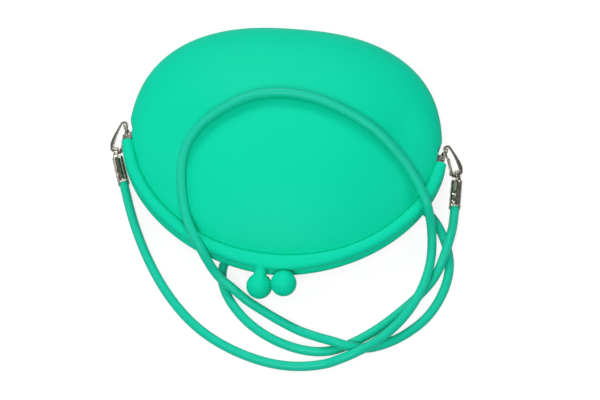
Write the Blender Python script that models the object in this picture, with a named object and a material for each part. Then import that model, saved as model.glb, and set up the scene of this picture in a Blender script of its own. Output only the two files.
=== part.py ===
"""Silicone clasp-frame purse with a detachable cord strap, lying on its back.

Lengths below are in millimetres and become metres in the meshes.
X runs along the frame's hinge axis, -Y is the mouth and +Z is up; z = 0 is the table.
"""

import math

import bmesh
import bpy
import numpy as np
from mathutils import Matrix, Vector

MM = 0.001
GAP = 0.3                  # clearance between pieces that touch or turn on each other

# The two halves of the metal frame and the silicone rims moulded round them
RIM_HALF_WIDTH = 99.9      # hinge centre to the rim's middle line, along X
RIM_DEPTH = 83.2           # hinge axis to the rim's middle line at the clasp
RIM_POWER = 1.84           # 2 is an ellipse, less is more pointed
RIM_RADIUS = 3.6           # each rim is a round bead
RIM_END = 5.5              # the beads stop this far in front of the hinge axis
HINGE_HEIGHT = 15.5        # hinge axis above the table
STRIP_WIDTH = 4.4
STRIP_THICK = 1.4
STRIP_END = 0.9            # the strip's necks stop this far in front of the hinge axis
BEAD_LIFT = RIM_RADIUS + GAP / 2 + 0.05     # bead's middle line from the parting plane

# Pouch
POUCH_HALF_WIDTH = RIM_HALF_WIDTH + 0.1
POUCH_LENGTH = 84.9        # hinge axis to the bottom seamless edge
POUCH_POWER = 2.46         # 2 is an ellipse, more is squarer
POUCH_HEIGHT = 46.0        # top of the front wall above the table
POUCH_EDGE_HEIGHT = 18.0   # where front and back walls meet
WALL = 2.0
BELLY_DEPTH = -1.5         # the back wall would reach this low, and is flattened at the table
LIP_GAP = 0.45             # clearance between the pouch's lips and the rims
LIP_RISE = 0.8             # the lips meet the rims this far beyond their middle lines
NOTCH_START = 3.0          # behind the hinge axis the lips swing out and close over this stretch
NOTCH_END = 10.0
SWELL_REACH = 34.0         # the walls themselves widen smoothly over this much on either side

# Clasp knobs
KNOB_RADIUS = 8.0
KNOB_SIDE = 7.5            # each knob's distance from the middle
KNOB_GAP = 0.5             # each knob clears the other half's rim by this much
KNOB_REACH = RIM_DEPTH + RIM_RADIUS + KNOB_RADIUS + KNOB_GAP
KNOB_CROSS = 3.5           # how far each knob crosses the parting plane
KNOB_STEM_RADIUS = 3.5
KNOB_CORE_RADIUS = 5.0
KNOB_POST_RADIUS = 1.5

# Hinge stack, counted outwards along X
EAR_THICK = 1.0
EAR_RADIUS = 2.8
FRONT_EAR_X = RIM_HALF_WIDTH - STRIP_WIDTH / 2
BACK_EAR_X = FRONT_EAR_X + EAR_THICK + GAP
LUG_X = BACK_EAR_X + EAR_THICK + GAP
LUG_THICK = 0.9
RIVET_RADIUS = 1.3
RIVET_HEAD_RADIUS = 2.3
RIVET_HEAD = 0.8

# Strap lug: its outer bar carries the snap hook
LUG_HALF_HEIGHT = 3.4
LUG_BEND_Y = 3.2
LUG_BEND = math.radians(40)     # the lug's end is bent outwards by this much
LUG_WINDOW = (0.5, 3.9, 2.3)    # near edge and far edge from the bend, and half height of the eye
LUG_BAR = 4.45                  # middle of the outer bar, from the bend
LUG_END = 5.0

# Snap hook, in its own frame: the lug bar at the origin, the hook running along -Y
HOOK_THICK = 1.5
HOOK_LENGTH = 17.4         # lug bar to the middle of the bottom bar
HOOK_TOP_RADIUS = 2.0
HOOK_TOP_Y = 0.5           # middle of the hook's arch
HOOK_HALF_WIDTH = 3.4
HOOK_LIFT = 15.8           # lug end of the hook above the table
GATE_PIVOT = (-HOOK_HALF_WIDTH, -15.2)
GATE_TIP = (-1.75, -5.4)
GATE_WIRE_RADIUS = 0.5

# Crimp end, in its own frame: the hook's bottom bar at the origin, the cord leaving along -Y
CRIMP_SIZE = 7.2
CRIMP_WALL = 0.6
CRIMP_TOP = 4.2
CRIMP_MOUTH = 23.0
CRIMP_HEIGHT = 3.7         # middle of the barrel above the table
EYE_RADIUS = 2.8
EYE_BORE = 2.0
EYE_WIDTH = 2.8
EYE_HEIGHT = 5.4           # middle of the eye above the table

CORD_DIAMETER = 5.8

# Where each clip points, in degrees from -Y towards +X
CLIP_HEADINGS = {"left": (-18.0, 19.3), "right": (33.0, -1.7)}

# The box of the purse without its strap is centred on Y = 0
HINGE_Y = (KNOB_REACH + KNOB_RADIUS - POUCH_LENGTH) / 2

# The strap's middle line: x and y from the hinge centre, z from the table
STRAP_ROUTE = {
    "strap_left_end": [
        (-98.3, -34.6, 3.6), (-95.3, -43.0, 3.2), (-91.7, -52.5, 2.95),
        (-87.5, -62.0, 2.95), (-83.0, -71.5, 2.95),
    ],
    "strap_front_loop": [
        (-77.0, -82.3, 2.95), (-70.1, -93.2, 2.95), (-61.3, -104.8, 2.95), (-50.7, -115.9, 2.95),
        (-37.9, -126.0, 2.95), (-22.9, -133.9, 2.95), (-8.0, -139.2, 2.95), (7.3, -142.2, 2.95),
        (22.5, -142.3, 3.3),
    ],
    "strap_front_rise": [
        (37.0, -140.1, 5.2), (47.0, -137.0, 9.4), (56.0, -132.9, 11.6),
        (64.5, -126.6, 10.4), (73.0, -118.4, 9.0), (81.5, -108.3, 9.0), (88.0, -97.5, 9.4),
        (92.8, -86.8, 9.6), (95.6, -76.0, 8.8), (97.0, -66.0, 6.0), (97.5, -57.5, 6.2),
        (96.6, -49.5, 10.4), (94.8, -43.0, 17.4), (92.2, -37.6, 24.6), (88.4, -31.0, 27.4),
    ],
    "strap_over_pouch": [
        (83.4, -21.2, 29.9), (76.4, -14.4, 34.5), (68.2, -7.8, 39.3), (58.7, 0.7, 43.6), (43.6, 8.5, 47.1),
        (27.5, 15.4, 49.0), (9.6, 20.0, 49.4), (-6.2, 20.3, 49.4), (-19.1, 18.2, 49.2),
        (-31.7, 11.6, 48.7), (-44.0, 3.6, 47.0), (-53.8, -6.0, 43.9), (-59.6, -16.6, 40.4),
        (-61.5, -25.2, 37.5), (-60.9, -36.8, 34.2),
    ],
    "strap_back_loop": [
        (-59.2, -47.3, 30.5), (-56.0, -58.6, 27.1), (-51.2, -69.0, 26.9), (-46.0, -77.0, 25.0),
        (-41.0, -83.0, 19.6), (-36.4, -87.8, 13.2), (-31.2, -91.9, 9.7), (-24.0, -96.6, 8.3),
        (-14.0, -102.4, 3.6), (-2.0, -109.0, 3.05), (9.0, -114.8, 3.05), (20.0, -119.6, 3.5),
        (30.5, -123.6, 6.6), (41.0, -127.2, 9.8), (51.5, -129.0, 7.9), (62.8, -126.9, 4.0),
        (76.6, -121.4, 3.05), (87.7, -112.9, 3.05), (97.6, -102.9, 2.95), (104.6, -89.4, 2.95),
        (108.6, -76.0, 2.95), (108.7, -63.3, 2.95), (105.9, -53.1, 2.95), (102.0, -44.0, 2.95),
        (96.8, -35.8, 2.95), (89.4, -29.4, 2.95), (79.5, -28.2, 2.95), (66.0, -35.4, 2.95),
        (49.5, -49.5, 2.95), (33.0, -58.4, 2.95), (15.0, -63.2, 2.95), (-3.0, -64.2, 2.95),
        (-17.5, -65.6, 2.95), (-27.6, -71.0, 2.95), (-31.6, -80.0, 2.95), (-31.2, -89.5, 2.95),
        (-27.6, -98.5, 2.95), (-21.4, -107.4, 2.95), (-13.2, -115.8, 2.95), (-2.5, -123.1, 2.95),
        (9.7, -128.4, 2.95), (21.5, -131.2, 2.95), (33.2, -131.9, 2.95), (43.8, -129.2, 2.95),
        (52.6, -123.6, 2.95), (62.3, -118.0, 2.95), (71.6, -109.8, 2.95), (80.5, -101.2, 2.95),
        (88.3, -92.9, 2.95), (94.6, -85.2, 2.95), (99.6, -77.8, 3.2), (102.9, -70.5, 5.4),
    ],
    "strap_right_end": [
        (105.3, -63.6, 8.9), (107.2, -55.8, 9.7), (108.9, -48.0, 7.8), (110.1, -40.0, 4.8),
        (110.5, -33.5, 3.8),
    ],
}
CORD_START = 9.0           # each end of the cord lies this far from the eye, inside the barrel
CORD_STEP = 15.0           # distance between the points of the built tube, at most


def smoothstep(t):
    """0 before 0, 1 after 1 and 3t^2 - 2t^3 between."""
    t = np.clip(t, 0.0, 1.0)
    return t * t * (3.0 - 2.0 * t)


def material(name, colour, metallic, roughness):
    made = bpy.data.materials.new(name)
    made.use_nodes = True
    shader = made.node_tree.nodes["Principled BSDF"]
    shader.inputs["Base Color"].default_value = (*colour, 1.0)
    shader.inputs["Metallic"].default_value = metallic
    shader.inputs["Roughness"].default_value = roughness
    return made


def piece(name, verts, faces, finish, origin=(0.0, 0.0, 0.0), turn=(0.0, 0.0, 0.0)):
    """A named object from points in millimetres, placed by its own origin and rotation."""
    mesh = bpy.data.meshes.new(name)
    mesh.from_pydata([tuple(float(c) * MM for c in v) for v in verts], [], [tuple(f) for f in faces])
    bm = bmesh.new()
    bm.from_mesh(mesh)
    bmesh.ops.recalc_face_normals(bm, faces=bm.faces)
    bm.to_mesh(mesh)
    bm.free()
    mesh.shade_smooth()
    mesh.set_sharp_from_angle(angle=math.radians(35))
    if finish:
        mesh.materials.append(finish)
    made = bpy.data.objects.new(name, mesh)
    bpy.context.scene.collection.objects.link(made)
    made.location = Vector(origin) * MM
    made.rotation_euler = turn
    return made


def boolean(target, tools, operation):
    """Adds or cuts the tools, each a pair of points and faces in the target's own frame."""
    for number, (verts, faces) in enumerate(tools):
        name = f"{target.name}_{operation.lower()}_{len(target.modifiers)}_{number}"
        tool = piece(name, verts, faces, None)
        tool.parent = target
        tool.hide_render = True
        tool.hide_viewport = False
        tool.display_type = "WIRE"
        step = target.modifiers.new(name, "BOOLEAN")
        step.operation = operation
        step.solver = "EXACT"
        step.object = tool


def swept(path, profile, normal):
    """A profile (across, along normal) carried along a path that stays square to the normal."""
    path, profile = np.asarray(path, float), np.asarray(profile, float)
    normal = np.asarray(normal, float)
    along = np.gradient(path, axis=0)
    along /= np.linalg.norm(along, axis=1, keepdims=True)
    across = np.cross(along, normal)
    across /= np.linalg.norm(across, axis=1, keepdims=True)
    rings = (
        path[:, None]
        + profile[None, :, :1] * across[:, None]
        + profile[None, :, 1:] * normal[None, None]
    )
    count, sides = len(path), len(profile)
    faces = [
        (i * sides + j, i * sides + (j + 1) % sides, (i + 1) * sides + (j + 1) % sides, (i + 1) * sides + j)
        for i in range(count - 1)
        for j in range(sides)
    ]
    faces += [tuple(range(sides)), tuple(range((count - 1) * sides, count * sides))]
    return rings.reshape(-1, 3), faces


def turned(start, direction, profile, sides):
    """A lathe profile of (distance, radius) turned about the line from start along direction."""
    start = np.asarray(start, float)
    axis = np.asarray(direction, float) / np.linalg.norm(direction)
    u = np.cross(axis, (0.0, 0.0, 1.0) if abs(axis[2]) < 0.9 else (1.0, 0.0, 0.0))
    u /= np.linalg.norm(u)
    v = np.cross(axis, u)
    angles = np.arange(sides) * 2.0 * math.pi / sides
    ring = np.cos(angles)[:, None] * u + np.sin(angles)[:, None] * v
    verts, faces, rows = [], [], []
    for distance, radius in profile:
        if radius == 0.0:
            rows.append([len(verts)])
            verts.append(start + axis * distance)
        else:
            rows.append(list(range(len(verts), len(verts) + sides)))
            verts.extend(start + axis * distance + ring * radius)
    for low, high in zip(rows, rows[1:]):
        for j in range(sides):
            k = (j + 1) % sides
            if len(low) == 1:
                faces.append((low[0], high[j], high[k]))
            elif len(high) == 1:
                faces.append((low[j], low[k], high[0]))
            else:
                faces.append((low[j], low[k], high[k], high[j]))
    for row in (rows[0], rows[-1]):
        if len(row) > 1:
            faces.append(tuple(row))
    return np.array(verts), faces


def rod(start, end, radius, sides):
    length = float(np.linalg.norm(np.subtract(end, start)))
    return turned(start, np.subtract(end, start), [(0.0, radius), (length, radius)], sides)


def prism(outline, axis, low, high):
    """A closed outline in the two other axes, extruded along one axis from low to high."""
    others = [i for i in range(3) if i != axis]
    verts = []
    for level in (low, high):
        for a, b in outline:
            point = [0.0, 0.0, 0.0]
            point[others[0]], point[others[1]], point[axis] = a, b, level
            verts.append(point)
    count = len(outline)
    faces = [(j, (j + 1) % count, count + (j + 1) % count, count + j) for j in range(count)]
    faces += [tuple(range(count)), tuple(range(count, 2 * count))]
    return np.array(verts), faces


def arc(centre, radius, start, end, steps):
    """Points on an arc between two angles in degrees."""
    angles = np.radians(np.linspace(start, end, steps + 1))
    return [(centre[0] + radius * math.cos(a), centre[1] + radius * math.sin(a)) for a in angles]


def oval(cosines, sines, half_width, depth, power):
    """Distance from the middle of |x / w|^n + |y / d|^n = 1 to its edge, along each direction."""
    return (np.abs(cosines / half_width) ** power + np.abs(sines / depth) ** power) ** (-1.0 / power)


def rim_line(side, lift, extra=0.0, steps=36):
    """The frame's half oval, its ends run on straight by extra; side is +1 front, -1 back."""
    first = math.asin((RIM_END / RIM_DEPTH) ** (RIM_POWER / 2))
    angles = np.linspace(first, math.pi - first, steps + 1)
    x = -RIM_HALF_WIDTH * np.sign(np.cos(angles)) * np.abs(np.cos(angles)) ** (2 / RIM_POWER)
    y = -RIM_DEPTH * np.sin(angles) ** (2 / RIM_POWER)
    line = [(float(a), float(b), side * lift) for a, b in zip(x, y)]
    if extra:
        ends = line[0], line[-1]
        line.insert(0, (ends[0][0], ends[0][1] + extra, ends[0][2]))
        line.append((ends[1][0], ends[1][1] + extra, ends[1][2]))
    return line


# Silicone pouch

def pouch_edge(angles):
    """Hinge centre to the pouch's edge, to its smooth base, and the share of each that is behind."""
    c, s = np.cos(angles), np.sin(angles)
    inset = RIM_RADIUS + LIP_GAP
    mouth = oval(c, s, RIM_HALF_WIDTH - inset, RIM_DEPTH - inset, RIM_POWER)
    behind = oval(c, s, POUCH_HALF_WIDTH, POUCH_LENGTH, POUCH_POWER)
    share = smoothstep((mouth * s - NOTCH_START) / (NOTCH_END - NOTCH_START))
    swell = smoothstep((mouth * s + SWELL_REACH) / (2.0 * SWELL_REACH))
    return mouth + (behind - mouth) * share, mouth + (behind - mouth) * swell, share, swell


def pouch_sheet(angles, fractions, top, inner):
    """One sheet of the wall: rays from the hinge centre, domed as (1 - s^n)^q from edge to middle.

    The ray's length and its edge height follow the smooth base, and only near the edge, as s^8,
    the lips themselves.
    """
    edge, base, share, swell = pouch_edge(angles)
    s = fractions[None, :]
    near_edge = s**8
    behind = smoothstep((np.degrees(np.arcsin(np.sin(angles))) + 25.0) / 50.0)[:, None]
    lip_height = HINGE_HEIGHT + (BEAD_LIFT + LIP_RISE) * (1.0 if top else -1.0)
    middle = POUCH_HEIGHT if top else BELLY_DEPTH
    heights = []
    for part in (share, swell):
        height = lip_height + (POUCH_EDGE_HEIGHT - lip_height) * part
        if inner:
            thinning = 0.8 * np.minimum(WALL, np.abs(height - POUCH_EDGE_HEIGHT))
            height = height + (-thinning if top else thinning)
        heights.append(height[:, None])
    if inner:
        middle += -WALL if top else WALL
        edge = edge - WALL * (0.65 + 0.35 * share)
        base = base - WALL * (0.65 + 0.35 * swell)
    edge_height = heights[1] + (heights[0] - heights[1]) * near_edge
    power = 2.3 if top else 2.0 + 0.2 * behind
    bulge = (1.0 - s**power) ** (0.95 * (1.0 - behind) + 0.5 * behind)
    height = edge_height + (middle - edge_height) * bulge
    if not top:
        height = np.maximum(height, WALL if inner else 0.0)
    radius = base[:, None] * s + (edge - base)[:, None] * near_edge
    return np.stack(
        [radius * np.cos(angles)[:, None], radius * np.sin(angles)[:, None], height - HINGE_HEIGHT], -1
    )


def pouch_skin(finish, origin):
    """Outer and inner walls of the one-piece pouch, open along the mouth."""
    inset = RIM_RADIUS + LIP_GAP
    back = np.array([0.0, 1.0, 1.5, 2.0, 2.6, NOTCH_END / NOTCH_START]) * NOTCH_START
    across = (RIM_HALF_WIDTH - inset) * (1.0 - (back / (RIM_DEPTH - inset)) ** RIM_POWER) ** (1.0 / RIM_POWER)
    fine = np.concatenate([np.arctan2(back, across), np.radians([9.5, 14.0])])
    wide = np.radians(np.linspace(22.0, 158.0, 18))
    upper = np.concatenate([fine, wide, math.pi - fine[::-1]])
    lower = np.concatenate([np.radians(np.linspace(187.0, 353.0, 22))])
    angles = np.concatenate([upper, lower])
    fractions = np.array([0.0, 0.2, 0.33, 0.46, 0.58, 0.69, 0.79, 0.87, 0.935, 0.98, 1.0])
    bm = bmesh.new()
    count, rows = len(angles), len(fractions)
    share = pouch_edge(angles)[2]
    edges = {}
    for inner in (False, True):
        for top in (False, True):
            grid = pouch_sheet(angles, fractions, top, inner)
            centre = bm.verts.new(Vector(grid[0, 0]) * MM)
            verts = [[bm.verts.new(Vector(grid[i, j]) * MM) for j in range(1, rows)] for i in range(count)]
            for i in range(count):
                k = (i + 1) % count
                bm.faces.new((centre, verts[i][0], verts[k][0]))
                for j in range(rows - 2):
                    bm.faces.new((verts[i][j], verts[i][j + 1], verts[k][j + 1], verts[k][j]))
            edges[(inner, top)] = [row[-1] for row in verts]
    for top in (False, True):
        outer, lining = edges[(False, top)], edges[(True, top)]
        for i in range(count):
            k = (i + 1) % count
            if min(share[i], share[k]) < 0.999:
                bm.faces.new((outer[i], outer[k], lining[k], lining[i]))
    bmesh.ops.remove_doubles(bm, verts=bm.verts, dist=0.02 * MM)
    bmesh.ops.dissolve_degenerate(bm, edges=bm.edges, dist=0.01 * MM)
    bmesh.ops.recalc_face_normals(bm, faces=bm.faces)
    mesh = bpy.data.meshes.new("pouch_skin")
    bm.to_mesh(mesh)
    bm.free()
    mesh.shade_smooth()
    mesh.materials.append(finish)
    made = bpy.data.objects.new("pouch_skin", mesh)
    bpy.context.scene.collection.objects.link(made)
    made.location = Vector(origin) * MM
    return made


# Rims, frame halves and clasp knobs

def knob_axis(side):
    """Where a knob's stem starts on its bead, its direction, and the length to the knob's centre."""
    start = np.array([-side * KNOB_SIDE, -(RIM_DEPTH + 1.8), side * (BEAD_LIFT + 0.5)])
    centre = np.array([-side * KNOB_SIDE, -KNOB_REACH, -side * KNOB_CROSS])
    length = float(np.linalg.norm(centre - start))
    return start, (centre - start) / length, length


def knob_profile(length, ball, stem, start):
    """A stem that flows into a ball, as distances along the axis and radii."""
    neck = [(start, stem), (length - 1.22 * ball, stem), (length - 1.02 * ball, stem + 0.04 * ball)]
    angles = np.radians([145.0, 125.0, 105.0, 85.0, 65.0, 45.0, 25.0])
    return neck + [(length + ball * math.cos(a), ball * math.sin(a)) for a in angles] + [(length + ball, 0.0)]


def knob_foot(side):
    """How far along a knob's axis its metal post starts, clear of the strip's nearest corner."""
    start, direction, _ = knob_axis(side)
    corner = np.array([start[0], -(RIM_DEPTH + STRIP_WIDTH / 2), side * (BEAD_LIFT - STRIP_THICK / 2)])
    return float(np.dot(corner - start, direction)) + GAP


def rim(name, side, finish, origin):
    """A silicone bead round one half of the frame, with its stem and knob cover in one piece."""
    bead = [(RIM_RADIUS * math.cos(a), RIM_RADIUS * math.sin(a)) for a in np.arange(12) * math.pi / 6]
    verts, faces = swept(rim_line(side, BEAD_LIFT), bead, (0.0, 0.0, 1.0))
    made = piece(name, verts, faces, finish, origin)
    start, direction, length = knob_axis(side)
    stem = turned(start, direction, knob_profile(length, KNOB_RADIUS, KNOB_STEM_RADIUS, 0.0), 16)
    boolean(made, [stem], "UNION")
    half_width, half_thick = STRIP_WIDTH / 2 + GAP, STRIP_THICK / 2 + GAP
    slot = [(-half_width, -half_thick), (half_width, -half_thick), (half_width, half_thick), (-half_width, half_thick)]
    channel = swept(rim_line(side, BEAD_LIFT, 3.0), slot, (0.0, 0.0, 1.0))
    cavity = knob_profile(length, KNOB_CORE_RADIUS + GAP, KNOB_POST_RADIUS + GAP, knob_foot(side) - 2 * GAP)
    boolean(made, [channel, turned(start, direction, cavity, 12)], "DIFFERENCE")
    return made


def ear_outline(side):
    """The folded ear seen along X: a round end about the rivet and a neck up to the strip."""
    top = side * (BEAD_LIFT + 0.5)
    turn = arc((0.0, 0.0), EAR_RADIUS, 45.0, -160.0, 12)
    return [(y, side * z) for y, z in turn] + [(-RIM_END + 0.6, top), (-STRIP_END, top)]


def frame_half(name, side, finish, origin, ear_x):
    """A stamped strip bent to the mouth's curve, with a pierced ear folded down at each end."""
    half_width, half_thick = STRIP_WIDTH / 2, STRIP_THICK / 2
    strip = [(-half_width, -half_thick), (half_width, -half_thick), (half_width, half_thick), (-half_width, half_thick)]
    verts, faces = swept(rim_line(side, BEAD_LIFT), strip, (0.0, 0.0, 1.0))
    made = piece(name, verts, faces, finish, origin)
    outline = ear_outline(side)
    inner, outer = FRONT_EAR_X - 0.2, BACK_EAR_X + EAR_THICK
    plan = [(inner, -RIM_END - 1.0), (outer, -RIM_END - 1.0), (outer, -STRIP_END), (inner, -STRIP_END)]
    low, high = sorted((side * (BEAD_LIFT - 0.45 * STRIP_THICK), side * (BEAD_LIFT + 0.4 * STRIP_THICK)))
    ears, necks, holes = [], [], []
    for end in (-1.0, 1.0):
        ears.append(prism(outline, 0, *sorted((end * ear_x, end * (ear_x + EAR_THICK)))))
        necks.append(prism([(end * x, y) for x, y in plan], 2, low, high))
        holes.append(rod((end * (ear_x - 2.0), 0, 0), (end * (ear_x + 3.0), 0, 0), RIVET_RADIUS + GAP, 12))
    boolean(made, necks + ears, "UNION")
    boolean(made, holes, "DIFFERENCE")
    return made


def knob_core(name, side, finish, origin):
    """The metal ball and post inside a knob, its foot standing at the strip's edge."""
    start, direction, length = knob_axis(side)
    profile = knob_profile(length, KNOB_CORE_RADIUS, KNOB_POST_RADIUS, knob_foot(side))
    verts, faces = turned(start, direction, profile, 12)
    return piece(name, verts, faces, finish, origin)


def hinge_rivet(name, end, finish, origin):
    """A headed pin through both ears and the strap lug."""
    inner = FRONT_EAR_X - GAP
    outer = LUG_X + LUG_THICK + GAP
    profile = [
        (inner - RIVET_HEAD, RIVET_HEAD_RADIUS - 0.5), (inner - RIVET_HEAD * 0.6, RIVET_HEAD_RADIUS),
        (inner, RIVET_HEAD_RADIUS), (inner, RIVET_RADIUS), (outer, RIVET_RADIUS),
        (outer, RIVET_HEAD_RADIUS), (outer + RIVET_HEAD * 0.5, RIVET_HEAD_RADIUS - 0.3),
        (outer + RIVET_HEAD, RIVET_HEAD_RADIUS - 1.2),
    ]
    verts, faces = turned((0.0, 0.0, 0.0), (end, 0.0, 0.0), profile, 14)
    return piece(name, verts, faces, finish, origin)


def slab(centre, directions, halves):
    """A box from its middle, three directions at right angles and its half sizes along them."""
    verts = [
        np.add(centre, sum(np.multiply(d, h * sign) for d, h, sign in zip(directions, halves, signs)))
        for signs in ((-1, -1, -1), (1, -1, -1), (1, 1, -1), (-1, 1, -1), (-1, -1, 1), (1, -1, 1), (1, 1, 1), (-1, 1, 1))
    ]
    faces = [(0, 1, 2, 3), (4, 5, 6, 7), (0, 1, 5, 4), (1, 2, 6, 5), (2, 3, 7, 6), (3, 0, 4, 7)]
    return np.array(verts), faces


def lug_point(end, distance):
    """The middle of the bent end of a lug, a distance from its bend."""
    reach = LUG_X + LUG_THICK / 2 + distance * math.sin(LUG_BEND)
    return end * reach, LUG_BEND_Y + distance * math.cos(LUG_BEND), 0.0


def strap_lug(name, end, finish, origin):
    """A pierced tab under the rivet head, bent outwards into an eye for the snap hook."""
    middle = [(LUG_X + LUG_THICK / 2, -3.2), (LUG_X + LUG_THICK / 2, LUG_BEND_Y)]
    middle.append(tuple(abs(c) for c in lug_point(end, LUG_END)[:2]))
    half = LUG_THICK / 2
    turn = half * math.tan(LUG_BEND / 2)
    across = (math.cos(LUG_BEND) * half, -math.sin(LUG_BEND) * half)
    plan = [
        (middle[0][0] - half, middle[0][1]), (middle[1][0] - half, middle[1][1] + turn),
        (middle[2][0] - across[0], middle[2][1] - across[1]), (middle[2][0] + across[0], middle[2][1] + across[1]),
        (middle[1][0] + half, middle[1][1] - turn), (middle[0][0] + half, middle[0][1]),
    ]
    verts, faces = prism([(end * a, b) for a, b in plan], 2, -LUG_HALF_HEIGHT, LUG_HALF_HEIGHT)
    made = piece(name, verts, faces, finish, origin)
    high = LUG_HALF_HEIGHT - 0.1
    tip = lug_point(end, LUG_END)[1] - 0.1
    side = arc((0.0, 0.0), 2.9, 110.0, 250.0, 8)
    side += [(3.0, -high)] + arc((tip - 1.2, -high + 1.2), 1.2, -90.0, 0.0, 3)
    side += arc((tip - 1.2, high - 1.2), 1.2, 0.0, 90.0, 3) + [(3.0, high)]
    reach = sorted((end * (LUG_X - 1.0), end * (LUG_X + 7.0)))
    boolean(made, [prism(side, 0, *reach)], "INTERSECT")
    near, far, half_height = LUG_WINDOW
    along = (end * math.sin(LUG_BEND), math.cos(LUG_BEND), 0.0)
    through = (math.cos(LUG_BEND), -end * math.sin(LUG_BEND), 0.0)
    window = slab(
        lug_point(end, (near + far) / 2), (along, through, (0.0, 0.0, 1.0)), ((far - near) / 2, 2.0, half_height)
    )
    hole = rod((end * (LUG_X - 2.0), 0, 0), (end * (LUG_X + 3.0), 0, 0), RIVET_RADIUS + GAP, 12)
    boolean(made, [window, hole], "DIFFERENCE")
    return made


# Strap clips

def hook_outline():
    """The stamped hook: nose, arched top, wide spine, bottom bar and the gate's boss."""
    wide, low = HOOK_HALF_WIDTH, -HOOK_LENGTH
    nose = [(-2.45, -4.6), (-2.2, -2.0)]
    top = arc((0.0, HOOK_TOP_Y), HOOK_TOP_RADIUS, 175.0, 5.0, 8)
    spine = [(2.75, -3.0), (3.5, -8.0), (3.75, low + 5.0), (3.55, low + 2.6)]
    bottom = arc((wide - 1.5, low + 1.5), 1.5, 0.0, -90.0, 3) + arc((-wide + 1.5, low + 1.5), 1.5, -90.0, -170.0, 3)
    line = np.array(nose + top + spine + bottom + [(GATE_PIVOT[0] - 0.1, GATE_PIVOT[1])])
    half = np.array([0.6] * 2 + [0.65] * 8 + [0.75] + [1.05, 1.3, 1.25, 0.95] + [0.85] * 9)
    along = np.gradient(line, axis=0)
    along /= np.linalg.norm(along, axis=1, keepdims=True)
    across = np.stack([-along[:, 1], along[:, 0]], -1) * half[:, None]
    outer, inner = line + across, line - across
    edge = outer[0][0]
    return (
        [(edge + 0.5, -6.1), (edge + 0.5, outer[0][1])]
        + [tuple(p) for p in inner] + [tuple(p) for p in outer[::-1]] + [(edge, -6.1)]
    )


def clip_places(label):
    """Where one clip's hook, gate, eye and barrel lie, and how far the hook is tipped."""
    end = -1 if label == "left" else 1
    hook_heading, crimp_heading = (math.radians(a) for a in CLIP_HEADINGS[label])
    tilt = math.asin((HOOK_LIFT - EYE_HEIGHT) / HOOK_LENGTH)
    frame = Matrix.Rotation(hook_heading, 3, "Z") @ Matrix.Rotation(tilt, 3, "X")
    bar = lug_point(end, LUG_BAR)
    bar = Vector((bar[0], HINGE_Y + bar[1], HOOK_LIFT))
    pivot = bar + frame @ Vector((end * GATE_PIVOT[0], GATE_PIVOT[1], 0.0))
    eye = bar + frame @ Vector((0.0, -HOOK_LENGTH, 0.0))
    along = Vector((math.sin(crimp_heading), -math.cos(crimp_heading), 0.0))
    barrel = Vector((eye.x, eye.y, CRIMP_HEIGHT))
    return end, hook_heading, crimp_heading, tilt, bar, pivot, eye, barrel, along


def snap_hook(name, mirror, finish, origin, turn):
    outline = [(mirror * x, y) for x, y in hook_outline()]
    verts, faces = prism(outline, 2, -HOOK_THICK / 2, HOOK_THICK / 2)
    made = piece(name, verts, faces, finish, origin, turn)
    pivot = (mirror * GATE_PIVOT[0], GATE_PIVOT[1])
    boss_half = HOOK_THICK / 2 - 0.1
    boss = rod((*pivot, -boss_half), (*pivot, boss_half), 1.6, 14)
    hole = rod((*pivot, -3.0), (*pivot, 3.0), GATE_WIRE_RADIUS + GAP, 10)
    boolean(made, [boss], "UNION")
    boolean(made, [hole], "DIFFERENCE")
    return made


def hook_gate(name, mirror, finish, origin, turn):
    """A wire loop: one leg through the hook's boss, two arms, and a leg that closes on the nose."""
    rise = HOOK_THICK / 2 + GAP + GATE_WIRE_RADIUS
    corner = 0.9
    tip = np.subtract(GATE_TIP, GATE_PIVOT)
    length = float(np.linalg.norm(tip))
    forward = tip / length
    flat = arc((length - corner, rise - corner), corner, 90.0, 0.0, 3)
    flat += arc((length - corner, -rise + corner), corner, 0.0, -90.0, 3)
    flat += arc((corner, -rise + corner), corner, -90.0, -180.0, 3)
    flat += arc((corner, rise - corner), corner, 180.0, 90.0, 3)
    verts, sides = [], 8
    points = np.array([(forward[0] * a, forward[1] * a, b) for a, b in flat])
    along = np.roll(points, -1, axis=0) - np.roll(points, 1, axis=0)
    along /= np.linalg.norm(along, axis=1, keepdims=True)
    side = np.array([-forward[1], forward[0], 0.0])
    for point, ahead in zip(points, along):
        up = np.cross(ahead, side)
        for a in np.arange(sides) * 2.0 * math.pi / sides:
            verts.append(point + GATE_WIRE_RADIUS * (math.cos(a) * side + math.sin(a) * up))
    count = len(points)
    faces = [
        (i * sides + j, i * sides + (j + 1) % sides, (i + 1) % count * sides + (j + 1) % sides, (i + 1) % count * sides + j)
        for i in range(count)
        for j in range(sides)
    ]
    verts = np.array(verts) * (mirror, 1.0, 1.0)
    return piece(name, verts, faces, finish, origin, turn)


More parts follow.
